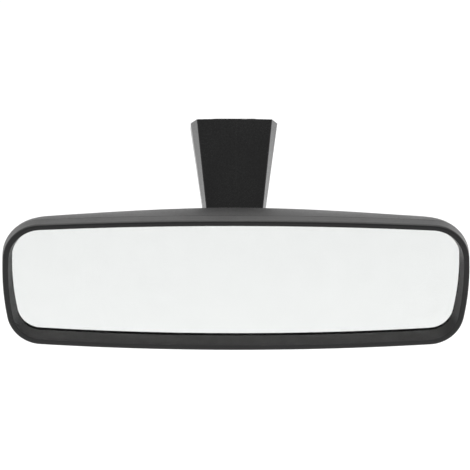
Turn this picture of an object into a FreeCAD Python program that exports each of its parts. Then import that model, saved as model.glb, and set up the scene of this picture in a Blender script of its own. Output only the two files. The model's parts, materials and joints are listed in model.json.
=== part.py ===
import FreeCAD, Part
import math
import os
from FreeCAD import Placement, Rotation, Vector

# Interior rearview mirror for a car: a fixed windscreen stem, a ball joint and a day/night dip lever.
#
# Row frame, millimetres: +Z up, +Y towards the windscreen, the glass looks along -Y at the driver.
# The origin is the middle of the foot's windscreen plane. Three working frames are used and then placed:
#   head frame    origin at the ball's centre, axes as the row frame
#   stem frame    origin at the foot, +Z out through the windscreen, -Y up the glass towards the driver
#   socket frame  origin at the ball's centre, +Z along the ball's neck
# Every function named after a piece returns that piece in the row frame.

# ---- driving dimensions: where things are -------------------------------------------------------
WINDSCREEN_SLOPE = 30.0          # degrees from horizontal
BALL_REACH = 26.2                # ball centre in front of the stem's centre line, along the windscreen
BALL_DROP = 81.0                 # ball centre below the windscreen plane
BALL_R = 8.0
NECK_R = 3.2
NECK_TILT = 21.0                 # the ball's neck above horizontal

# ---- head: bezel, glass and housing -------------------------------------------------------------
RIM_Y = -26.0                    # front of the bezel
BEZEL_BACK_Y = -19.0
BEZEL_DRAFT = 0.3                # the bezel's front is this much smaller all round than its back
PARTING_GAP = 0.1                # open line between bezel and housing
HALF_WIDTH = 120.0
TOP_Z, BOTTOM_Z = 35.7, -36.5
SIDE_APEX_Z = 6.2                # the head is widest a little above its middle
CORNER_TOP, CORNER_BOTTOM = 20.0, 18.5
BOW_TOP, BOW_BOTTOM, BOW_SIDE = 2150.0, 1600.0, 134.0   # radii of the outline's four sides
FRONT_BAND = 3.1                 # bezel's front face, from the outer edge to the lip
LIP_SIDE, LIP_TOP, LIP_BOTTOM = 5.8, 4.9, 6.1           # outer edge to visible glass
LIP_DEPTH = 7.8
GLASS_INSET = 4.0                # outer edge of the bezel to the hidden edge of the glass
GLASS_BACK_Y = -16.4
GLASS_TOP_THICKNESS, GLASS_BOTTOM_THICKNESS = 5.6, 2.1
BOND = 0.01                      # between glass and silvering
COATING = 0.15
PAD_BACK_Y = -15.2
PAD_INSET = 7.0
HOUSING_BACK_Y = 14.7
WALL = 2.0
MOUTH_R = 15.5                   # opening in the housing round the ball's neck
RIB_X = (52.0, 92.0)
TAB_X = (50.0, 90.0)             # snap tongues
TAB_WIDTH = 12.0

# ---- day/night dip ------------------------------------------------------------------------------
DIP_ANGLE = 4.2                  # the head's swing between day and night
LEVER_TRAVEL = 50.0
HINGE_Y, HINGE_Z = -9.0, 25.0    # dip hinge, head frame
AXLE_Y, AXLE_Z = -6.0, -25.0     # lever axle, head frame
PIN_R = 1.5
PIN_HALF = 28.0
AXLE_R = 1.25
AXLE_HALF = 12.5
CRANK_R = 1.2
SLOT_CLEARANCE = 0.12
HUB_R = 4.4
HUB_FLAT = 3.9                   # the lever hub's flats from the axle
PLATE_FRONT_Y, PLATE_BACK_Y = -14.2, -11.8

# ---- ball socket --------------------------------------------------------------------------------
CUP_R = 10.0                     # outer radius of the two ball cups
CUP_CLEARANCE = 0.03
MOUTH_ANGLE = 54.0               # half angle of the ring's mouth
SOCKET_R = 13.6
RING_HEIGHT = 6.6
EAR_R = 3.6
EAR_HEIGHT = 3.0
SOCKET_SCREW_PITCH_R = 16.2
SOCKET_SCREW_R = 1.25

# ---- stem and foot ------------------------------------------------------------------------------
STEM_LENGTH = 56.0
STEM_RIM_Z = -0.7                # the cover stops short of the windscreen
STEM_FRONT_Y = -15.0
STEM_WALL = 2.0
FRONT_BULGE = 1.3
REAR_TOP_Y, REAR_BOTTOM_Y = 15.0, 3.0   # rear face, at the windscreen and at the lower end
COVER_THICKNESS = 2.0
COVER_SCREW_Z = -30.0
BOSS_R = 6.0                     # the arm's boss round the ball stud
SHANK_R = 3.0
FOOT = 24.0                      # the foot block is square
FOOT_THICKNESS = 6.0
CHANNEL_MOUTH, CHANNEL_FLOOR, CHANNEL_DEPTH = 14.0, 18.0, 4.0
CHANNEL_END_Y = -8.0
FOOT_SCREW_X = 6.0
FOOT_SCREW_R = 1.5

PRESS = 0.01                     # radial room of a pin that is held
RUNNING = 0.04                   # radial room of a pin that turns

# ---- worked-out values --------------------------------------------------------------------------
tilt = math.radians(NECK_TILT)
neck_lean = math.radians(NECK_TILT + WINDSCREEN_SLOPE)   # the neck in the stem frame
STEM_PLACE = Placement(Vector(), Rotation(Vector(1, 0, 0), -WINDSCREEN_SLOPE))
BALL = STEM_PLACE.multVec(Vector(0, -BALL_REACH, -BALL_DROP))
HEAD_PLACE = Placement(BALL, Rotation())
SOCKET_PLACE = Placement(BALL, Rotation(Vector(0, 0, 1), Vector(0, math.cos(tilt), math.sin(tilt))))
dip_rise = math.tan(math.radians(DIP_ANGLE))
half_travel = math.radians(LEVER_TRAVEL / 2)
# The crank pin's stroke at full travel moves the head through exactly the dip angle
CRANK_THROW = (HINGE_Z - AXLE_Z) * dip_rise / (2 * math.sin(half_travel) + dip_rise)


# ---- helpers ------------------------------------------------------------------------------------
def box(x0, x1, y0, y1, z0, z1):
    return Part.makeBox(x1 - x0, y1 - y0, z1 - z0, Vector(x0, y0, z0))


def rod(radius, start, end):
    start, end = Vector(*start), Vector(*end)
    return Part.makeCylinder(radius, (end - start).Length, start, end - start)


def fuse(shapes):
    whole = shapes[0].fuse(shapes[1:]) if len(shapes) > 1 else shapes[0]
    return whole.removeSplitter()


def cut_all(shape, cutters):
    for cutter in cutters:
        shape = shape.cut(cutter)
    return shape


def both_sides(shape):
    return [shape, shape.mirror(Vector(), Vector(1, 0, 0))]


def polygon_face(points):
    return Part.Face(Part.makePolygon(points + points[:1]))


def prism(points, x0, x1):
    """A (y, z) polygon pulled along X."""
    return polygon_face([Vector(x0, y, z) for y, z in points]).extrude(Vector(x1 - x0, 0, 0))


def revolve(points):
    """A closed (r, z) polygon turned about Z."""
    return polygon_face([Vector(r, 0, z) for r, z in points]).revolve(Vector(), Vector(0, 0, 1), 360)


def edges_within(shape, y=(-1e9, 1e9), z=(-1e9, 1e9)):
    """The edges that lie wholly between two values of y and of z."""
    def inside(edge):
        b = edge.BoundBox
        return y[0] <= b.YMin and b.YMax <= y[1] and z[0] <= b.ZMin and b.ZMax <= z[1]
    return [edge for edge in shape.Edges if inside(edge)]


def upright_edges(shape, length):
    return [e for e in shape.Edges if e.BoundBox.ZLength > length]


# ---- placing ------------------------------------------------------------------------------------
def placed(shape, placement):
    return shape.transformed(placement.toMatrix(), True)


def place_head(shape):
    return placed(shape, HEAD_PLACE)


def place_stem(shape):
    return placed(shape, STEM_PLACE)


def place_socket(shape):
    return placed(shape, SOCKET_PLACE)


def socket_into_head(shape):
    """From the socket frame to the head frame."""
    return placed(shape, HEAD_PLACE.inverse().multiply(SOCKET_PLACE))


# ---- the head's outline -------------------------------------------------------------------------
def onward(centre, through, radius):
    """The point at a radius from the centre, on the line through another point."""
    d = math.hypot(through[0] - centre[0], through[1] - centre[1])
    return (centre[0] + (through[0] - centre[0]) * radius / d,
            centre[1] + (through[1] - centre[1]) * radius / d)


def circle_meet(a, ra, b, rb, near):
    """Where two circles in (x, z) cross, on the side of the point near."""
    d = math.hypot(b[0] - a[0], b[1] - a[1])
    along = (ra * ra - rb * rb + d * d) / (2 * d)
    across = math.sqrt(ra * ra - along * along)
    ux, uz = (b[0] - a[0]) / d, (b[1] - a[1]) / d
    found = [(a[0] + along * ux - s * across * uz, a[1] + along * uz + s * across * ux) for s in (1, -1)]
    return min(found, key=lambda p: math.hypot(p[0] - near[0], p[1] - near[1]))


def corner_middle(centre, side_a, side_b, radius):
    """The middle of a corner arc that touches two bowed sides, whose centres are side_a and side_b."""
    ax, az = onward((0, 0), (centre[0] - side_a[0], centre[1] - side_a[1]), 1)
    bx, bz = onward((0, 0), (centre[0] - side_b[0], centre[1] - side_b[1]), 1)
    return onward(centre, (centre[0] + ax + bx, centre[1] + az + bz), radius)


def outline_arcs(y, half_width, top, bottom, corner_top, corner_bottom, bow_top, bow_bottom, bow_side):
    """The closed outline at depth y: four bowed sides and four tangent corners, eight arcs in all."""
    apex = SIDE_APEX_Z * half_width / HALF_WIDTH
    up, down = (0.0, top - bow_top), (0.0, bottom + bow_bottom)
    right = (half_width - bow_side, apex)
    c1 = circle_meet(up, bow_top - corner_top, right, bow_side - corner_top, (half_width, top))
    c2 = circle_meet(down, bow_bottom - corner_bottom, right, bow_side - corner_bottom, (half_width, bottom))
    p1, p2 = onward(up, c1, bow_top), onward(right, c1, bow_side)
    p3, p4 = onward(right, c2, bow_side), onward(down, c2, bow_bottom)
    m1 = corner_middle(c1, up, right, corner_top)
    m2 = corner_middle(c2, right, down, corner_bottom)
    side_middle = onward(right, ((p2[0] + p3[0]) / 2, (p2[1] + p3[1]) / 2), bow_side)
    half = [p1, m1, p2, side_middle, p3, m2, p4]
    loop = [(0.0, top)] + half + [(0.0, bottom)] + [(-x, z) for x, z in reversed(half)]
    points = [Vector(x, y, z) for x, z in loop]
    # Sixteen points round the loop. Each arc starts on an odd one and ends on the next odd one.
    count = len(points)
    return [Part.Arc(points[i], points[(i + 1) % count], points[(i + 2) % count]).toShape()
            for i in range(-1, count - 1, 2)]


def smooth_wire(arcs):
    """One closed spline through points on the arcs, so that lofts between outlines stay smooth.

    The points crowd towards each arc's ends, where the curvature changes, and the spline stays on the arcs.
    """
    steps_per_arc = (8, 5, 4, 5, 8, 5, 4, 5)
    points = []
    for arc, steps in zip(arcs, steps_per_arc):
        first, last = arc.ParameterRange
        shares = [(1 - math.cos(math.pi * step / steps)) / 2 for step in range(steps)]
        points += [arc.valueAt(first + share * (last - first)) for share in shares]
    curve = Part.BSplineCurve()
    curve.interpolate(Points=points, PeriodicFlag=True)
    return Part.Wire(curve.toShape())


def rim_outline(y, side=0.0, top=None, bottom=None):
    """The bezel's outline moved inwards by side, top and bottom."""
    top = side if top is None else top
    bottom = side if bottom is None else bottom
    return Part.Wire(outline_arcs(y, HALF_WIDTH - side, TOP_Z - top, BOTTOM_Z + bottom,
                                  CORNER_TOP - top, CORNER_BOTTOM - bottom,
                                  BOW_TOP - top, BOW_BOTTOM - bottom, BOW_SIDE - side))


def slab(wire, depth):
    return Part.Face(wire).extrude(Vector(0, depth, 0))


def housing_form(inset, shift):
    """The rear shell's smooth bowl. inset shrinks each section, and shift moves it towards the driver."""
    front = (BEZEL_BACK_Y + PARTING_GAP, HALF_WIDTH, TOP_Z, BOTTOM_Z, CORNER_TOP, CORNER_BOTTOM,
             BOW_TOP, BOW_BOTTOM, BOW_SIDE)
    sections = [
        # y, half width, top, bottom, corners top and bottom, bows of top, bottom and side
        front,
        (-10.0, 117.5, 35.3, -35.3, 21.0, 20.0, 1400.0, 1300.0, 130.0),
        (0.0, 100.0, 32.9, -32.8, 22.0, 22.0, 640.0, 700.0, 100.0),
        (8.0, 70.0, 28.5, -28.6, 20.0, 20.0, 310.0, 320.0, 75.0),
        (HOUSING_BACK_Y, 36.0, 19.5, -20.0, 14.0, 14.0, 160.0, 160.0, 50.0),
    ]
    wires = [
        smooth_wire(outline_arcs(y - shift, w - inset, t - inset, b + inset, ct - inset, cb - inset,
                                 bt - inset, bb - inset, bs - inset))
        for y, w, t, b, ct, cb, bt, bb, bs in sections
    ]
    return Part.makeLoft(wires, True, False)


def glass_front_y(z):
    """The glass is a wedge, thick at the top, with an upright silvered back."""
    top, bottom = TOP_Z - GLASS_INSET, BOTTOM_Z + GLASS_INSET
    share = (z - bottom) / (top - bottom)
    return GLASS_BACK_Y - GLASS_BOTTOM_THICKNESS - share * (GLASS_TOP_THICKNESS - GLASS_BOTTOM_THICKNESS)


def behind_glass_front(gap, back_y):
    """Everything from the glass's sloping front, moved forward by gap, to back_y."""
    low, high, wide = BOTTOM_Z - 5, TOP_Z + 5, HALF_WIDTH + 5
    front_low, front_high = glass_front_y(low) - gap, glass_front_y(high) - gap
    return prism([(front_low, low), (back_y, low), (back_y, high), (front_high, high)], -wide, wide)


# ---- head: bezel, glass, housing ----------------------------------------------------------------
def bezel():
    edge_round, back_round, lip_round = 1.3, 0.15, 0.4
    body = Part.makeLoft([rim_outline(RIM_Y, BEZEL_DRAFT), rim_outline(BEZEL_BACK_Y)], True, True)
    body = body.makeFillet(edge_round, edges_within(body, y=(RIM_Y - 0.01, RIM_Y + 0.01)))
    body = body.makeFillet(back_round, edges_within(body, y=(BEZEL_BACK_Y - 0.01, BEZEL_BACK_Y + 0.01)))
    # The lip slopes in from the front band to the glass, and further along the bottom
    start = RIM_Y - 0.2
    mouth = Part.makeLoft([rim_outline(start, FRONT_BAND),
                           rim_outline(start + LIP_DEPTH, LIP_SIDE, LIP_TOP, LIP_BOTTOM)], True, True)
    body = body.cut(mouth)
    front = edges_within(body, y=(RIM_Y - 0.05, RIM_Y + 0.05),
                         z=(BOTTOM_Z + FRONT_BAND - 0.2, TOP_Z - FRONT_BAND + 0.2))
    reach = HALF_WIDTH - FRONT_BAND + 0.2
    body = body.makeFillet(lip_round, [e for e in front if abs(e.CenterOfMass.x) < reach])
    seat = slab(rim_outline(RIM_Y, GLASS_INSET - 0.1), 20.0)
    body = body.cut(seat.common(behind_glass_front(0.05, 0.0)))
    return place_head(fuse([body] + snap_tabs()))


def snap_tabs():
    """Tongues along the top and bottom that go inside the housing and hold the bezel on."""
    outside = slab(rim_outline(BEZEL_BACK_Y - 0.5, 2.55), 3.1)
    ring = outside.cut(slab(rim_outline(BEZEL_BACK_Y - 1, 3.75), 5))
    half = TAB_WIDTH / 2
    return [ring.common(box(side * x - half, side * x + half, RIM_Y, 0, z0, z1))
            for x in TAB_X for side in (-1, 1) for z0, z1 in ((0.0, TOP_Z), (BOTTOM_Z, 0.0))]


def mirror_glass():
    blank = slab(rim_outline(RIM_Y, GLASS_INSET), 20.0)
    return place_head(blank.common(behind_glass_front(0.0, GLASS_BACK_Y)))


def mirror_coating():
    return place_head(slab(rim_outline(GLASS_BACK_Y + BOND, GLASS_INSET + 0.6), COATING))


def glass_pad():
    """A thin foam frame, so the glass doesn't rattle against the housing's ribs."""
    start = GLASS_BACK_Y + BOND + COATING
    frame = slab(rim_outline(start, PAD_INSET), PAD_BACK_Y - start)
    return place_head(frame.cut(box(-42, 42, -30, 0, -26.5, 26.5)))


def housing():
    inner = housing_form(WALL, 2.2)
    shell = housing_form(0.0, 0.0).cut(inner)
    # Room for the bezel's tongues inside the front edge
    shell = shell.cut(slab(rim_outline(BEZEL_BACK_Y - 1, 2.3), 4.3))
    ribs = [inner.common(box(side * x - 0.8, side * x + 0.8, PAD_BACK_Y, 20, -40, 40))
            for x in RIB_X for side in (-1, 1)]
    # Lugs reach a little into the wall
    inside = housing_form(WALL - 0.8, 1.4)
    hinge_lug = fuse([box(22.5, 26.5, HINGE_Y - 3.5, HINGE_Y + 3.5, HINGE_Z, 40),
                      rod(3.5, (22.5, HINGE_Y, HINGE_Z), (26.5, HINGE_Y, HINGE_Z))])
    lever_lug = box(9.6, 13.6, AXLE_Y - 6.5, AXLE_Y + 4.0, -40, AXLE_Z + 3.5)
    lugs = [s.common(inside) for lug in (hinge_lug, lever_lug) for s in both_sides(lug)]
    shell = shell.fuse(ribs + lugs)
    lever_slot = box(-9.3, 9.3, AXLE_Y - 8.0, AXLE_Y + 8.0, -45, -28.0)
    far = 40.0
    return place_head(cut_all(shell, [
        rod(PIN_R + PRESS, (-PIN_HALF - 2, HINGE_Y, HINGE_Z), (PIN_HALF + 2, HINGE_Y, HINGE_Z)),
        rod(AXLE_R + PRESS, (-AXLE_HALF - 0.1, AXLE_Y, AXLE_Z), (AXLE_HALF + 0.1, AXLE_Y, AXLE_Z)),
        detent_strip(0.06),
        rod(MOUTH_R, (0, 0, 0), (0, far * math.cos(tilt), far * math.sin(tilt))),
        lever_slot,
    ]))


# ---- day/night dip ------------------------------------------------------------------------------
def detent_strip(grow=0.0):
    """The strip spring's straight form, grown all round for the slots that hold it."""
    half, thickness, room = 12.8, 0.4, 0.03
    y1 = AXLE_Y - HUB_FLAT - room
    return box(-half - grow, half + grow, y1 - thickness - grow, y1 + grow,
               AXLE_Z - 3.2 - grow, AXLE_Z + 1.1 + grow)


def detent_spring():
    return place_head(detent_strip())


def lever_axle():
    return place_head(rod(AXLE_R, (-AXLE_HALF, AXLE_Y, AXLE_Z), (AXLE_HALF, AXLE_Y, AXLE_Z)))


def hinge_pin():
    return place_head(rod(PIN_R, (-PIN_HALF, HINGE_Y, HINGE_Z), (PIN_HALF, HINGE_Y, HINGE_Z)))


def lever_pad():
    """The finger tab: a plate with a round lower edge and ten grip ribs."""
    edge_r, thickness, rib_r, rib_count, rib_pitch = 26.0, 3.6, 0.5, 10, 2.0
    front = -thickness / 2
    disc = Part.makeCylinder(edge_r, thickness, Vector(0, -front, edge_r - 21.0), Vector(0, -1, 0))
    plate = disc.common(box(-12.0, 12.0, -3, 3, -21.5, -12.8))
    corners = [e for e in edges_within(plate, z=(-22.0, -15.0)) if e.BoundBox.YLength > 3]
    plate = plate.makeFillet(2.2, corners)
    rims = [e for e in plate.Edges if e.BoundBox.YLength < 0.01 and e.BoundBox.ZMin < -13.0]
    plate = plate.makeFillet(0.5, rims)
    start = -rib_pitch * (rib_count - 1) / 2
    xs = [start + i * rib_pitch for i in range(rib_count)]
    return fuse([plate] + [rod(rib_r, (x, front + 0.05, -19.4), (x, front + 0.05, -14.8)) for x in xs])


def dip_lever():
    """Hub, crank pin and finger tab, drawn with the tab straight down and then turned to its day position."""
    in_x, out_x, arm = 4.6, 8.6, 1.9
    cheek = rod(HUB_R, (in_x, 0, 0), (out_x, 0, 0))
    for turn in (-LEVER_TRAVEL / 2, LEVER_TRAVEL / 2):
        cutter = box(0, 20, -20, -HUB_FLAT, -20, 20)
        cutter.rotate(Vector(), Vector(1, 0, 0), turn)
        cheek = cheek.cut(cutter)
    web = prism([(-arm, 0), (arm, 0), (arm, CRANK_THROW), (-arm, CRANK_THROW)], in_x, out_x)
    eye = rod(arm, (in_x, 0, CRANK_THROW), (out_x, 0, CRANK_THROW))
    crank = rod(CRANK_R, (-in_x - 0.4, 0, CRANK_THROW), (in_x + 0.4, 0, CRANK_THROW))
    stalk = box(-out_x, out_x, -1.6, 1.6, -13.5, -2.4)
    lever = fuse([s for part in (cheek, web, eye) for s in both_sides(part)] + [crank, stalk, lever_pad()])
    lever = lever.cut(rod(AXLE_R + RUNNING, (-9, 0, 0), (9, 0, 0)))
    lever.rotate(Vector(), Vector(1, 0, 0), LEVER_TRAVEL / 2)
    lever.translate(Vector(0, AXLE_Y, AXLE_Z))
    return place_head(lever)


def crank_fork():
    """Two prongs under the plate, with the lever's crank pin between them."""
    crank_y = AXLE_Y - CRANK_THROW * math.sin(half_travel)
    wall = 2.0
    half_slot = CRANK_R + SLOT_CLEARANCE
    fork = box(-4.2, 4.2, PLATE_FRONT_Y, crank_y + half_slot + wall, -23.3, -15.0)
    fork = fork.cut(box(-5, 5, PLATE_FRONT_Y - 1, crank_y - half_slot - wall, -24, -17.0))
    return fork.cut(box(-5, 5, crank_y - half_slot, crank_y + half_slot, -24, -19.2))


def pivot_plate():
    """Carries the ball socket. It hangs from the dip hinge, and its fork holds the lever's crank pin."""
    plate = box(-33, 33, PLATE_FRONT_Y, PLATE_BACK_Y, -17, 21)
    plate = plate.makeFillet(5.0, [e for e in plate.Edges if e.BoundBox.YLength > 2])
    ear_in, ear_out = 14.0, 22.2
    ear = fuse([rod(3.5, (ear_in, HINGE_Y, HINGE_Z), (ear_out, HINGE_Y, HINGE_Z)),
                prism([(PLATE_FRONT_Y, 16), (PLATE_BACK_Y, 16), (HINGE_Y + 2.6, HINGE_Z - 2.3),
                       (HINGE_Y - 3.0, HINGE_Z + 1.5), (PLATE_FRONT_Y, 20)], ear_in, ear_out)])
    ribs = [box(x - 0.9, x + 0.9, PLATE_BACK_Y, -8.6, -15, 18) for x in (-27.0, 27.0)]
    body = fuse([plate, crank_fork()] + both_sides(ear) + ribs)
    body = body.cut(rod(PIN_R + RUNNING, (-30, HINGE_Y, HINGE_Z), (30, HINGE_Y, HINGE_Z)))
    barrel = [Part.makeCylinder(SOCKET_R, 13.0, Vector(0, 0, -13.0))]
    barrel += [Part.makeCylinder(EAR_R, 10.0, Vector(x, y, -10.0)) for x, y in screw_places()]
    barrel = socket_into_head(fuse(barrel)).common(box(-40, 40, PLATE_FRONT_Y, 40, -40, 40))
    spring_room = Part.makeCylinder(7.3, 8.0, Vector(0, 0, -11.4))
    holes = [Part.makeCylinder(SOCKET_SCREW_R + PRESS, 8.2, Vector(x, y, -7.2)) for x, y in screw_places()]
    hollow = [Part.makeSphere(CUP_R + CUP_CLEARANCE), spring_room] + holes
    return place_head(cut_all(fuse([body, barrel]), [socket_into_head(h) for h in hollow]))


# ---- ball socket --------------------------------------------------------------------------------
def screw_places():
    angles = [math.radians(a) for a in (-90, 30, 150)]
    return [(SOCKET_SCREW_PITCH_R * math.cos(a), SOCKET_SCREW_PITCH_R * math.sin(a)) for a in angles]


def socket_ring():
    """Screws onto the plate behind the ball and holds the cups in."""
    chamfer = 2.0
    body = revolve([(0, 0), (SOCKET_R, 0), (SOCKET_R, RING_HEIGHT - chamfer),
                    (SOCKET_R - chamfer, RING_HEIGHT), (0, RING_HEIGHT)])
    ears = [Part.makeCylinder(EAR_R, EAR_HEIGHT, Vector(x, y, 0)) for x, y in screw_places()]
    cone_height = 12.0
    cone = Part.makeCone(0.0, cone_height * math.tan(math.radians(MOUTH_ANGLE)), cone_height)
    holes = [Part.makeCylinder(SOCKET_SCREW_R + 0.15, EAR_HEIGHT + 2, Vector(x, y, -1))
             for x, y in screw_places()]
    return place_socket(cut_all(fuse([body] + ears), [Part.makeSphere(CUP_R + CUP_CLEARANCE), cone] + holes))


def screw(shank_r, head_r, shank, head, place):
    """Pan head cross-recess screw: the head stands on place, and the shank goes down from it."""
    x, y, z = place
    body = fuse([Part.makeCylinder(shank_r, shank, Vector(x, y, z - shank)),
                 Part.makeCylinder(head_r, head, Vector(x, y, z))])
    body = body.makeFillet(head * 0.45, edges_within(body, z=(z + head - 0.01, z + head + 0.01)))
    slot, deep, half = head_r * 0.55, head * 0.55, 0.3
    return cut_all(body, [box(x - a, x + a, y - b, y + b, z + head - deep, z + head + 1)
                          for a, b in ((slot, half), (half, slot))])


def socket_screws():
    head_r, head, shank = 2.4, 1.6, 9.5
    return place_socket(Part.makeCompound([screw(SOCKET_SCREW_R, head_r, shank, head, (x, y, EAR_HEIGHT))
                                           for x, y in screw_places()]))


def cup(from_angle, to_angle):
    """A ball cup between two angles from the neck's direction, with round inner and outer faces."""
    angles = [math.radians(a) for a in (from_angle, (from_angle + to_angle) / 2, to_angle)]
    inner, outer = ([Vector(r * math.sin(t), 0, r * math.cos(t)) for t in angles]
                    for r in (BALL_R + CUP_CLEARANCE, CUP_R))
    wire = Part.Wire([Part.Arc(*inner).toShape(), Part.makeLine(inner[2], outer[2]),
                      Part.Arc(*reversed(outer)).toShape(), Part.makeLine(outer[0], inner[0])])
    return place_socket(Part.Face(wire).revolve(Vector(), Vector(0, 0, 1), 360))


def rear_ball_cup():
    return cup(MOUTH_ANGLE, 82.0)


def front_ball_cup():
    return cup(98.0, 165.0)


def ball_spring():
    """Disc spring that presses the front cup onto the ball."""
    return place_socket(revolve([(3.2, -9.65), (6.9, -10.75), (6.9, -11.3), (3.2, -10.2)]))


# ---- stem ---------------------------------------------------------------------------------------
def rear_y(z):
    """The stem's sloping rear face at height z."""
    return REAR_TOP_Y + (REAR_TOP_Y - REAR_BOTTOM_Y) * z / STEM_LENGTH


def behind_rear(depth):
    """Everything behind a plane that lies depth inside the rear face."""
    low, high, far = -STEM_LENGTH - 10, 5.0, 60.0
    rear_high, rear_low = rear_y(high) - depth, rear_y(low) - depth
    return prism([(rear_high, high), (far, high), (far, low), (rear_low, low)], -30, 30)


def stem_section(z, inset, back):
    """The stem's section at height z: bowed front, two facets, straight sides. back moves the rear edge."""
    share = -z / STEM_LENGTH
    front_half = 19.8 - 5.8 * share - inset * 0.6
    side_half = 23.0 - 7.7 * share - inset
    facet = 12.0 - 4.5 * share
    y0 = STEM_FRONT_Y + FRONT_BULGE + inset
    y1 = STEM_FRONT_Y + FRONT_BULGE + facet + inset * 0.4
    y2 = rear_y(z) + back
    bow = Part.Arc(Vector(-front_half, y0, z), Vector(0, y0 - FRONT_BULGE, z), Vector(front_half, y0, z))
    rest = [Vector(front_half, y0, z), Vector(side_half, y1, z), Vector(side_half, y2, z),
            Vector(-side_half, y2, z), Vector(-side_half, y1, z), Vector(-front_half, y0, z)]
    return Part.Wire([bow.toShape()] + [Part.makeLine(a, b) for a, b in zip(rest, rest[1:])])


def stem_form(inset, top, bottom, back=0.0):
    return Part.makeLoft([stem_section(top, inset, back), stem_section(bottom, inset, back)], True, True)


def neck_line(distance):
    """The point at a distance from the ball's centre along its neck, in the stem frame."""
    along, up = distance * math.cos(neck_lean), distance * math.sin(neck_lean)
    return Vector(0, along - BALL_REACH, up - BALL_DROP)


def cover_screw_line(distance):
    """The point at a distance outwards from the rear face along the cover screw, square to that face."""
    lean = math.atan((REAR_TOP_Y - REAR_BOTTOM_Y) / STEM_LENGTH)
    out, down = distance * math.cos(lean), distance * math.sin(lean)
    return Vector(0, rear_y(COVER_SCREW_Z) + out, COVER_SCREW_Z - down)


def stem_shell():
    """Moulded cover: front, facets, sides and closed lower end. Its back is open for the rear cover."""
    front_round, side_round, low_round = 0.8, 4.0, 0.7
    body = stem_form(0.0, STEM_RIM_Z + 3.0, -STEM_LENGTH)
    front = [e for e in upright_edges(body, 40) if e.BoundBox.YMax < STEM_FRONT_Y + 5]
    body = body.makeFillet(front_round, front)
    side = [e for e in upright_edges(body, 40) if -8 < e.BoundBox.YMin and e.BoundBox.YMax < 2]
    body = body.makeFillet(side_round, side)
    body = body.makeFillet(low_round, edges_within(body, z=(-STEM_LENGTH - 0.01, -STEM_LENGTH + 0.01)))
    body = body.cut(box(-40, 40, -40, 40, STEM_RIM_Z, 20))
    body = body.cut(stem_form(STEM_WALL, 1.0, -STEM_LENGTH + 2.5, back=12.0))
    # A moulding line down the front and a gate mark in the upper edge
    seam = box(0.45, 0.95, STEM_FRONT_Y - 0.12, STEM_FRONT_Y + 1, -STEM_LENGTH + 4, STEM_RIM_Z - 0.4)
    notch = box(4.0, 6.4, STEM_FRONT_Y - 1, STEM_FRONT_Y + 1.0, STEM_RIM_Z - 0.35, 1)
    opening = rod(BOSS_R + 0.1, neck_line(20), neck_line(46))
    return place_stem(cut_all(fuse([body, seam]), [notch, opening]))


def stem_rear_cover():
    """Closes the stem's back below the channel's entry."""
    cavity = stem_form(STEM_WALL + 0.12, -6.6, -STEM_LENGTH + 2.7)
    cover = cavity.common(behind_rear(COVER_THICKNESS))
    return place_stem(cover.cut(rod(1.6, cover_screw_line(-10), cover_screw_line(5))))


def rectangle_wire(z, half_x, y0, y1):
    points = [Vector(-half_x, y0, z), Vector(half_x, y0, z), Vector(half_x, y1, z), Vector(-half_x, y1, z)]
    return Part.makePolygon(points + points[:1])


def arm_core():
    """Die-cast arm inside the cover, from the foot down to the ball stud's boss."""
    flange = box(-11, 11, -11, 11, -FOOT_THICKNESS - 4, -FOOT_THICKNESS)
    flange = flange.makeFillet(2.0, upright_edges(flange, 3))
    web = Part.makeLoft([rectangle_wire(-FOOT_THICKNESS - 3, 7.0, -8.0, 8.0),
                         rectangle_wire(-46.0, 5.6, -7.0, 1.5)], True, True)
    boss = rod(BOSS_R, neck_line(26.0), neck_line(43.0))
    holes = [rod(FOOT_SCREW_R + PRESS, (x, 0, -14.5), (x, 0, 0)) for x in (-FOOT_SCREW_X, FOOT_SCREW_X)]
    holes.append(rod(1.25 + PRESS, cover_screw_line(-14), cover_screw_line(0)))
    holes.append(rod(SHANK_R + PRESS, neck_line(20.0), neck_line(39.0)))
    return place_stem(cut_all(fuse([flange, web, boss]), [behind_rear(COVER_THICKNESS + 0.2)] + holes))


def ball_stud():
    """Steel ball, neck, stop collar and shank."""
    centre = neck_line(0)
    collar = rod(5.2, neck_line(23.4), neck_line(26.0))
    collar = collar.makeFillet(0.5, [e for e in collar.Edges if e.Closed])
    return place_stem(fuse([Part.makeSphere(BALL_R, centre), rod(NECK_R, centre, neck_line(25.0)),
                            collar, rod(SHANK_R, neck_line(24.0), neck_line(38.5))]))


def foot_channel():
    """Slides over a steel button bonded to the windscreen. Open at the end that faces down the glass."""
    half = FOOT / 2
    body = box(-half, half, -half, half, -FOOT_THICKNESS, 0)
    body = body.makeFillet(2.0, upright_edges(body, 3))
    mouth, floor = CHANNEL_MOUTH / 2, CHANNEL_FLOOR / 2
    profile = polygon_face([Vector(-mouth, CHANNEL_END_Y, 0), Vector(mouth, CHANNEL_END_Y, 0),
                            Vector(floor, CHANNEL_END_Y, -CHANNEL_DEPTH),
                            Vector(-floor, CHANNEL_END_Y, -CHANNEL_DEPTH)])
    sink = 1.3
    cutters = [profile.extrude(Vector(0, 40, 0)),
               box(-3.3, 3.3, CHANNEL_END_Y + 0.5, 11, -CHANNEL_DEPTH - sink, -CHANNEL_DEPTH + 1)]
    for x in (-FOOT_SCREW_X, FOOT_SCREW_X):
        cutters.append(rod(FOOT_SCREW_R + 0.1, (x, 0, -10), (x, 0, 0)))
        cutters.append(Part.makeCone(FOOT_SCREW_R + 0.1, 2.75, sink, Vector(x, 0, -CHANNEL_DEPTH - sink)))
    return place_stem(cut_all(body, cutters))


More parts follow.
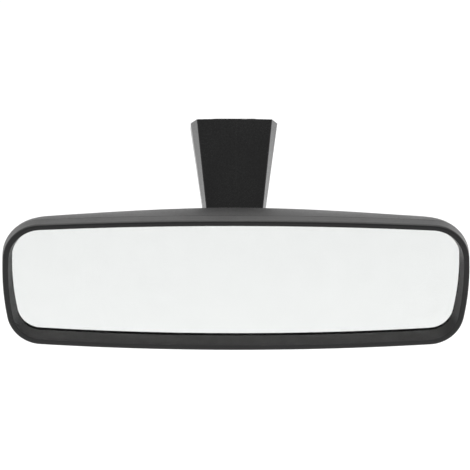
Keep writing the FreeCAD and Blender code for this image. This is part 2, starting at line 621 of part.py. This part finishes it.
def retaining_spring():
    """Bowed strip in the channel's floor that grips the button."""
    start, end, rise, thickness, width = -7.2, 10.7, 1.75, 0.5, 5.6
    low = -CHANNEL_DEPTH - 1.25
    lower = [Vector(0, start, low), Vector(0, (start + end) / 2, low + rise), Vector(0, end, low)]
    upper = [p + Vector(0, 0, thickness) for p in lower]
    wire = Part.Wire([Part.Arc(*lower).toShape(), Part.makeLine(lower[2], upper[2]),
                      Part.Arc(*reversed(upper)).toShape(), Part.makeLine(upper[0], lower[0])])
    strip = Part.Face(wire).extrude(Vector(width, 0, 0))
    strip.translate(Vector(-width / 2, 0, 0))
    return place_stem(strip)


def countersunk_screw(x):
    """A cross-slotted screw whose flat head sits just under the channel's floor."""
    top = -CHANNEL_DEPTH - 0.05
    head, head_r, slot, half, deep = 1.15, 2.6, 1.5, 0.3, 0.6
    body = fuse([Part.makeCone(FOOT_SCREW_R, head_r, head, Vector(x, 0, top - head)),
                 rod(FOOT_SCREW_R, (x, 0, -14), (x, 0, top - head + 0.1))])
    return cut_all(body, [box(x - a, x + a, -b, b, top - deep, 0) for a, b in ((slot, half), (half, slot))])


def foot_screws():
    return place_stem(Part.makeCompound([countersunk_screw(x) for x in (-FOOT_SCREW_X, FOOT_SCREW_X)]))


def cover_screw():
    body = screw(1.25, 2.6, 9.5, 1.5, (0, 0, 0))
    start, end = cover_screw_line(0), cover_screw_line(1)
    return place_stem(placed(body, Placement(start, Rotation(Vector(0, 0, 1), end - start))))


PIECES = [
    bezel, mirror_glass, mirror_coating, glass_pad, housing,
    hinge_pin, lever_axle, detent_spring, dip_lever, pivot_plate,
    socket_ring, socket_screws, rear_ball_cup, front_ball_cup, ball_spring,
    ball_stud, arm_core, stem_shell, stem_rear_cover, cover_screw,
    foot_channel, foot_screws, retaining_spring,
]

os.makedirs("parts", exist_ok=True)
for piece in PIECES:
    shape = piece()
    assert shape.isValid() and shape.Volume > 0, piece.__name__
    print(f"{piece.__name__}: {len(shape.Solids)} solid(s), {shape.Volume / 1000:.2f} cm3")
    shape.exportStep(f"parts/{piece.__name__}.step")
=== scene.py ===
"""Looks of the interior rearview mirror: a material for each piece, a white studio and the camera."""
import json
import math

import bpy
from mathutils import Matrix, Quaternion, Vector

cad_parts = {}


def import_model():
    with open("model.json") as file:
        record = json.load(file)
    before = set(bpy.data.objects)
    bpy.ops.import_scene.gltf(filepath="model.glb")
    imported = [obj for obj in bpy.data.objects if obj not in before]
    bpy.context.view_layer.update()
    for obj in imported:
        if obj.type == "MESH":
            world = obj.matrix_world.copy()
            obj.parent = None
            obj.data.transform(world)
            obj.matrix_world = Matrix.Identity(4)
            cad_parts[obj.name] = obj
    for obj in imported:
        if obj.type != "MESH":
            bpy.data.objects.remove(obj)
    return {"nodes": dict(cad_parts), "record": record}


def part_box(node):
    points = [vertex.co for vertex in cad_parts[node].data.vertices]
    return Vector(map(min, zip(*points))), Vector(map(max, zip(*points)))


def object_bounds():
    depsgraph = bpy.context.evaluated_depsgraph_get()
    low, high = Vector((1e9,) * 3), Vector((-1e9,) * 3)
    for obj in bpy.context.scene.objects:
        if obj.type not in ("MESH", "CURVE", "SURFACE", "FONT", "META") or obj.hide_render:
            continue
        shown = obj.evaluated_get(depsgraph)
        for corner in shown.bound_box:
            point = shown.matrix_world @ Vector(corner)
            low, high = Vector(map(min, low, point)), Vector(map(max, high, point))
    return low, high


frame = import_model()
cad_low, cad_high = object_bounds()

MM = 0.001

# ---- camera ----
CAMERA_AZIMUTH = math.radians(-1.2)
CAMERA_ELEVATION = math.radians(21.0)
CAMERA_ROLL = math.radians(0.5)
CAMERA_DISTANCE = 2.0
CAMERA_AIM = Vector((-0.0007, 0.0, 0.0263))  # from the middle of the bezel
LENS = 299.5
SENSOR = 36.0

# ---- studio ----
ROOM_LIGHT = 1.05
FRONT_LIGHT = 0.45                           # the room is dimmer behind and above the camera
FRONT_ELEVATION = math.radians(42.0)
DIMMING_STARTS, DIMMING_ENDS = 0.45, 0.95    # cosines of the angle from the middle of the dim part
FLOOR_DROP = 0.22                            # below the object's lowest point
FLOOR_SIZE = 12.0
SOFTBOXES = {
    # name: place and side in metres, power in watts
    "overhead": ((0.0, -0.10, 1.4), 1.6, 17.0),
    "back_left": ((-1.1, 1.1, 0.3), 1.1, 0.9),
    "back_right": ((1.1, 1.1, 0.3), 1.1, 1.6),
}


# ---- dust and painted top light ----
DUST_PATCH = 7 * MM
THIN_FILM = 0.75                             # share of the dust and painted top light left between the patches
# upward faces are lightened from here on: partly settled dust, partly painted light from above
TOP_DUST_AND_LIGHT_STARTS, TOP_DUST_AND_LIGHT_ENDS = 0.45, 0.95  # upward part of a face's normal
SHELTER_REACH = 12 * MM                      # how near another face has to be to shelter the dust
SHELTERED_OPENNESS = 0.45                    # from this openness down, all of the dust and painted top light stays
EXPOSED_SHARE = 0.45                         # share of it that stays in the open


# ---- node helpers ----
class Shader:
    """A node material being built. Its textures are laid out in the piece's own coordinates, in metres."""

    def __init__(self, name):
        self.material = bpy.data.materials.new(name)
        self.material.use_nodes = True
        self.tree = self.material.node_tree
        self.surface = self.tree.nodes["Principled BSDF"]
        self.coordinates = self.tree.nodes.new("ShaderNodeTexCoord").outputs["Object"]

    def connect(self, socket, value):
        """Links another node's output to an input, or sets the input to a plain value."""
        if isinstance(value, bpy.types.NodeSocket):
            self.tree.links.new(value, socket)
        else:
            socket.default_value = value

    def node(self, kind, inputs=None, **settings):
        made = self.tree.nodes.new(kind)
        for key, value in settings.items():
            setattr(made, key, value)
        for key, value in (inputs or {}).items():
            self.connect(made.inputs[key], value)
        return made

    def set(self, **values):
        for key, value in values.items():
            self.connect(self.surface.inputs[key.replace("_", " ")], value)

    def math(self, operation, first, second):
        return self.node("ShaderNodeMath", {0: first, 1: second}, operation=operation).outputs["Value"]

    def stretched(self, scale):
        """Coordinates scaled along each axis, for textures that run one way."""
        return self.node("ShaderNodeMapping", {"Vector": self.coordinates, "Scale": scale}).outputs["Vector"]

    def noise(self, size, detail=3.0, vector=None, roughness=0.5):
        """A noise value from 0 to 1 with features of the given size in metres."""
        inputs = {"Vector": vector or self.coordinates, "Scale": 1.0 / size}
        inputs.update({"Detail": detail, "Roughness": roughness})
        return self.node("ShaderNodeTexNoise", inputs).outputs["Fac"]

    def cells(self, size, feature="F1"):
        inputs = {"Vector": self.coordinates, "Scale": 1.0 / size}
        return self.node("ShaderNodeTexVoronoi", inputs, feature=feature).outputs["Distance"]

    def spread(self, value, low, high, start=0.35, end=0.65):
        """Maps a value between start and end to a number between low and high."""
        inputs = {"Value": value, "From Min": start, "From Max": end, "To Min": low, "To Max": high}
        return self.node("ShaderNodeMapRange", inputs).outputs["Result"]

    def mix_colour(self, share, first, second):
        made = self.node("ShaderNodeMix", {0: share, 6: first, 7: second}, data_type="RGBA")
        return made.outputs[2]

    def bump(self, height, depth, normal=None):
        inputs = {"Height": height, "Distance": depth, "Strength": 1.0}
        if normal:
            inputs["Normal"] = normal
        return self.node("ShaderNodeBump", inputs).outputs["Normal"]

    def edges(self, radius):
        """0 on open faces, towards 1 where a corner is sharper than the radius and handling wears it."""
        rounded = self.node("ShaderNodeBevel", {"Radius": radius}, samples=4).outputs["Normal"]
        true = self.node("ShaderNodeNewGeometry").outputs["Normal"]
        turn = self.node("ShaderNodeVectorMath", {0: rounded, 1: true}, operation="DOT_PRODUCT")
        return self.spread(turn.outputs["Value"], 1.0, 0.0, 0.80, 0.99)

    def dust_and_top_light(self):
        """Towards 1 on faces that look up, most of all in sheltered corners: partly fine dust that stays
        there, partly painted light on the upward faces.
        """
        normal = self.node("ShaderNodeNewGeometry").outputs["Normal"]
        up = self.node("ShaderNodeSeparateXYZ", {"Vector": normal}).outputs["Z"]
        film = self.spread(self.noise(DUST_PATCH, 5.0, roughness=0.65), THIN_FILM, 1.0)
        near = self.node("ShaderNodeAmbientOcclusion", {"Distance": SHELTER_REACH}, samples=8)
        stays = self.spread(near.outputs["AO"], 1.0, EXPOSED_SHARE, SHELTERED_OPENNESS, 1.0)
        # Upward faces get the mark: partly settled dust, partly painted light from above.
        upward_dust_and_light = self.math("MULTIPLY", self.spread(up, 0.0, 1.0, TOP_DUST_AND_LIGHT_STARTS, TOP_DUST_AND_LIGHT_ENDS), film)
        return self.math("MULTIPLY", upward_dust_and_light, stays)


def grey(level, tint=(1.0, 1.0, 1.0)):
    return tuple(level * t for t in tint) + (1.0,)


# ---- materials ----
def grained_plastic(name, level, roughness, grain, depth, shine, dust_and_top_light):
    """Black plastic from a textured tool: soft pits, faint flow marks, paler worn edges, and dust with
    painted top light on upward faces.

    grain and depth are the pits' size and depth in metres. level is the bare grey; the other grey is the
    colour that upward faces are lightened to, partly dust and partly painted light from above.
    """
    s = Shader(name)
    flow = s.noise(22 * MM, 2.0)
    speck = s.noise(0.9 * MM, 4.0)
    body = s.mix_colour(s.spread(speck, 0.0, 1.0), grey(level * 0.82), grey(level * 1.18, (1.0, 1.0, 1.02)))
    worn = s.mix_colour(s.edges(0.35 * MM), body, grey(level * 2.4))
    # Upward faces are mixed towards the last grey: partly dust, partly painted light from above.
    s.set(Base_Color=s.mix_colour(s.dust_and_top_light(), worn, grey(dust_and_top_light, (1.0, 0.99, 0.97))))
    uneven = s.math("ADD", s.spread(flow, -0.04, 0.04), s.spread(speck, -0.05, 0.05))
    s.set(Roughness=s.math("ADD", uneven, roughness), Specular_IOR_Level=shine, IOR=1.5)
    pits = s.bump(s.cells(grain, "SMOOTH_F1"), depth)
    s.set(Normal=s.bump(s.noise(grain * 0.45, 2.0), depth * 0.5, pits))
    return s.material


def metal(name, level, roughness, brush, depth, tint=(1.0, 1.0, 1.0)):
    """Turned or drawn steel: fine lines along one way, slight stain, bright edges."""
    s = Shader(name)
    lines = s.noise(brush, 3.0, s.stretched((1.0, 0.12, 0.12)))
    stain = s.noise(3.5 * MM, 3.0)
    body = s.mix_colour(s.spread(stain, 0.0, 1.0), grey(level * 0.86, tint), grey(level * 1.08, tint))
    edge = grey(min(level * 1.5, 0.9), tint)
    s.set(Base_Color=s.mix_colour(s.edges(0.2 * MM), body, edge), Metallic=1.0)
    s.set(Roughness=s.spread(lines, roughness - 0.06, roughness + 0.08), Normal=s.bump(lines, depth))
    return s.material


def die_cast(name):
    """Zinc casting as it comes from the tool: dull grey, orange-peel skin, small pores."""
    s = Shader(name)
    skin = s.noise(1.3 * MM, 4.0)
    pores = s.cells(0.8 * MM)
    body = s.mix_colour(s.spread(skin, 0.0, 1.0), grey(0.30), grey(0.42, (1.0, 1.0, 1.02)))
    s.set(Base_Color=s.mix_colour(s.edges(0.3 * MM), body, grey(0.6)), Metallic=0.85)
    s.set(Roughness=s.spread(skin, 0.42, 0.58))
    s.set(Normal=s.bump(pores, 0.02 * MM, s.bump(skin, 0.05 * MM)))
    return s.material


def acetal(name):
    """Natural acetal: milky and waxy."""
    s = Shader(name)
    cloud = s.noise(4 * MM, 2.0)
    s.set(Base_Color=s.mix_colour(s.spread(cloud, 0.0, 1.0), (0.74, 0.73, 0.68, 1), (0.80, 0.79, 0.75, 1)))
    s.set(Roughness=s.spread(cloud, 0.28, 0.38), Normal=s.bump(s.noise(0.5 * MM), 0.008 * MM))
    s.set(Subsurface_Weight=0.25, Subsurface_Radius=(MM, MM, 0.8 * MM), Subsurface_Scale=1.0)
    return s.material


def foam(name):
    """Closed-cell foam."""
    s = Shader(name)
    cell = s.cells(0.45 * MM)
    s.set(Base_Color=s.mix_colour(s.spread(cell, 0.0, 1.0, 0.1, 0.6), grey(0.10), grey(0.03)))
    s.set(Roughness=0.95, Specular_IOR_Level=0.25, Normal=s.bump(cell, 0.2 * MM))
    return s.material


def prism_glass(name):
    """Float glass, faintly green, with polish lines too fine to see except in a glancing light."""
    s = Shader(name)
    polish = s.noise(18 * MM, 2.0)
    s.set(Base_Color=(0.975, 0.985, 0.98, 1), Transmission_Weight=1.0, IOR=1.52)
    s.set(Roughness=s.spread(polish, 0.0, 0.006), Normal=s.bump(polish, 0.0005 * MM))
    return s.material


def silvering(name):
    """The mirror coating behind the glass."""
    s = Shader(name)
    film = s.noise(9 * MM, 3.0)
    s.set(Base_Color=s.mix_colour(s.spread(film, 0.0, 1.0), grey(0.795), grey(0.805)), Metallic=1.0)
    s.set(Roughness=s.spread(film, 0.0, 0.01), Normal=s.bump(film, 0.0003 * MM))
    return s.material


# The last grey of each plastic is what its upward faces are lightened to: partly dust, partly painted light
# from above; the bezel's is the highest, to paint light on its lower lip.
FINISHES = {
    "housing_plastic": grained_plastic("grained_housing", level=0.012, roughness=0.40, grain=0.55 * MM,
                                       depth=0.015 * MM, shine=0.38, dust_and_top_light=0.045),
    "bezel_plastic": grained_plastic("satin_bezel", level=0.009, roughness=0.36, grain=0.40 * MM,
                                     depth=0.008 * MM, shine=0.32, dust_and_top_light=0.075),
    "stem_plastic": grained_plastic("satin_stem", level=0.008, roughness=0.23, grain=0.45 * MM,
                                    depth=0.005 * MM, shine=0.34, dust_and_top_light=0.030),
    "inner_plastic": grained_plastic("filled_nylon", level=0.035, roughness=0.55, grain=0.6 * MM,
                                     depth=0.03 * MM, shine=0.50, dust_and_top_light=0.060),
    "mirror_glass": prism_glass("wedge_glass"),
    "silvering": silvering("silvering"),
    "foam": foam("closed_cell_foam"),
    "acetal": acetal("natural_acetal"),
    "steel": metal("zinc_plated_steel", level=0.56, roughness=0.30, brush=0.25 * MM, depth=0.004 * MM,
                   tint=(1.0, 0.99, 0.97)),
    "spring_steel": metal("spring_steel", level=0.34, roughness=0.28, brush=0.2 * MM, depth=0.004 * MM,
                          tint=(1.0, 1.0, 1.03)),
    "die_cast": die_cast("zinc_casting"),
}

for part in frame["record"]["subparts"]:
    mesh = frame["nodes"][part["node"]].data
    mesh.materials.clear()
    mesh.materials.append(FINISHES[part["material_slot"]])


# ---- studio ----
def world():
    """Even white light, dimmer in front and above."""
    made = bpy.data.worlds.new("studio")
    made.use_nodes = True
    tree = made.node_tree
    background = tree.nodes["Background"]
    background.inputs["Color"].default_value = (1.0, 1.0, 1.0, 1.0)
    towards_front = tree.nodes.new("ShaderNodeVectorMath")
    towards_front.operation = "DOT_PRODUCT"
    front = (0.0, -math.cos(FRONT_ELEVATION), math.sin(FRONT_ELEVATION))
    towards_front.inputs[1].default_value = front
    dimmed = tree.nodes.new("ShaderNodeMapRange")
    dimmed.interpolation_type = "SMOOTHSTEP"
    dimmed.inputs["From Min"].default_value = DIMMING_STARTS
    dimmed.inputs["From Max"].default_value = DIMMING_ENDS
    dimmed.inputs["To Min"].default_value = ROOM_LIGHT
    dimmed.inputs["To Max"].default_value = FRONT_LIGHT
    direction = tree.nodes.new("ShaderNodeTexCoord").outputs["Generated"]
    tree.links.new(direction, towards_front.inputs[0])
    tree.links.new(towards_front.outputs["Value"], dimmed.inputs["Value"])
    tree.links.new(dimmed.outputs["Result"], background.inputs["Strength"])
    bpy.context.scene.world = made


def floor():
    z = cad_low.z - FLOOR_DROP
    half = FLOOR_SIZE / 2
    corners = [(-half, -half, z), (half, -half, z), (half, half, z), (-half, half, z)]
    mesh = bpy.data.meshes.new("floor")
    mesh.from_pydata(corners, [], [(0, 1, 2, 3)])
    made = bpy.data.objects.new("floor", mesh)
    bpy.context.scene.collection.objects.link(made)
    s = Shader("pale_floor")
    s.set(Base_Color=s.mix_colour(s.noise(60 * MM), grey(0.93), grey(0.95)))
    s.set(Roughness=0.9, Specular_IOR_Level=0.0)
    mesh.materials.append(s.material)


def softbox(name, place, side, power):
    """A square area light that faces the middle of the mirror."""
    light = bpy.data.lights.new(name, "AREA")
    light.shape = "SQUARE"
    light.size = side
    light.energy = power
    made = bpy.data.objects.new(name, light)
    made.location = place
    middle = (cad_low + cad_high) / 2
    made.rotation_euler = (middle - made.location).to_track_quat("-Z", "Y").to_euler()
    bpy.context.scene.collection.objects.link(made)


def camera():
    low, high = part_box("bezel")
    target = (low + high) / 2 + CAMERA_AIM
    level = math.cos(CAMERA_ELEVATION)
    back = Vector((math.sin(CAMERA_AZIMUTH) * level, -math.cos(CAMERA_AZIMUTH) * level,
                   math.sin(CAMERA_ELEVATION)))
    data = bpy.data.cameras.new("camera")
    data.lens = LENS
    data.sensor_width = SENSOR
    made = bpy.data.objects.new("camera", data)
    made.location = target + back * CAMERA_DISTANCE
    upright = (-back).to_track_quat("-Z", "Y")
    made.rotation_euler = (upright @ Quaternion((0.0, 0.0, 1.0), CAMERA_ROLL)).to_euler()
    bpy.context.scene.collection.objects.link(made)
    bpy.context.scene.camera = made


world()
floor()
for name, (place, side, power) in SOFTBOXES.items():
    softbox(name, place, side, power)
camera()
bpy.context.scene.view_settings.view_transform = "Standard"
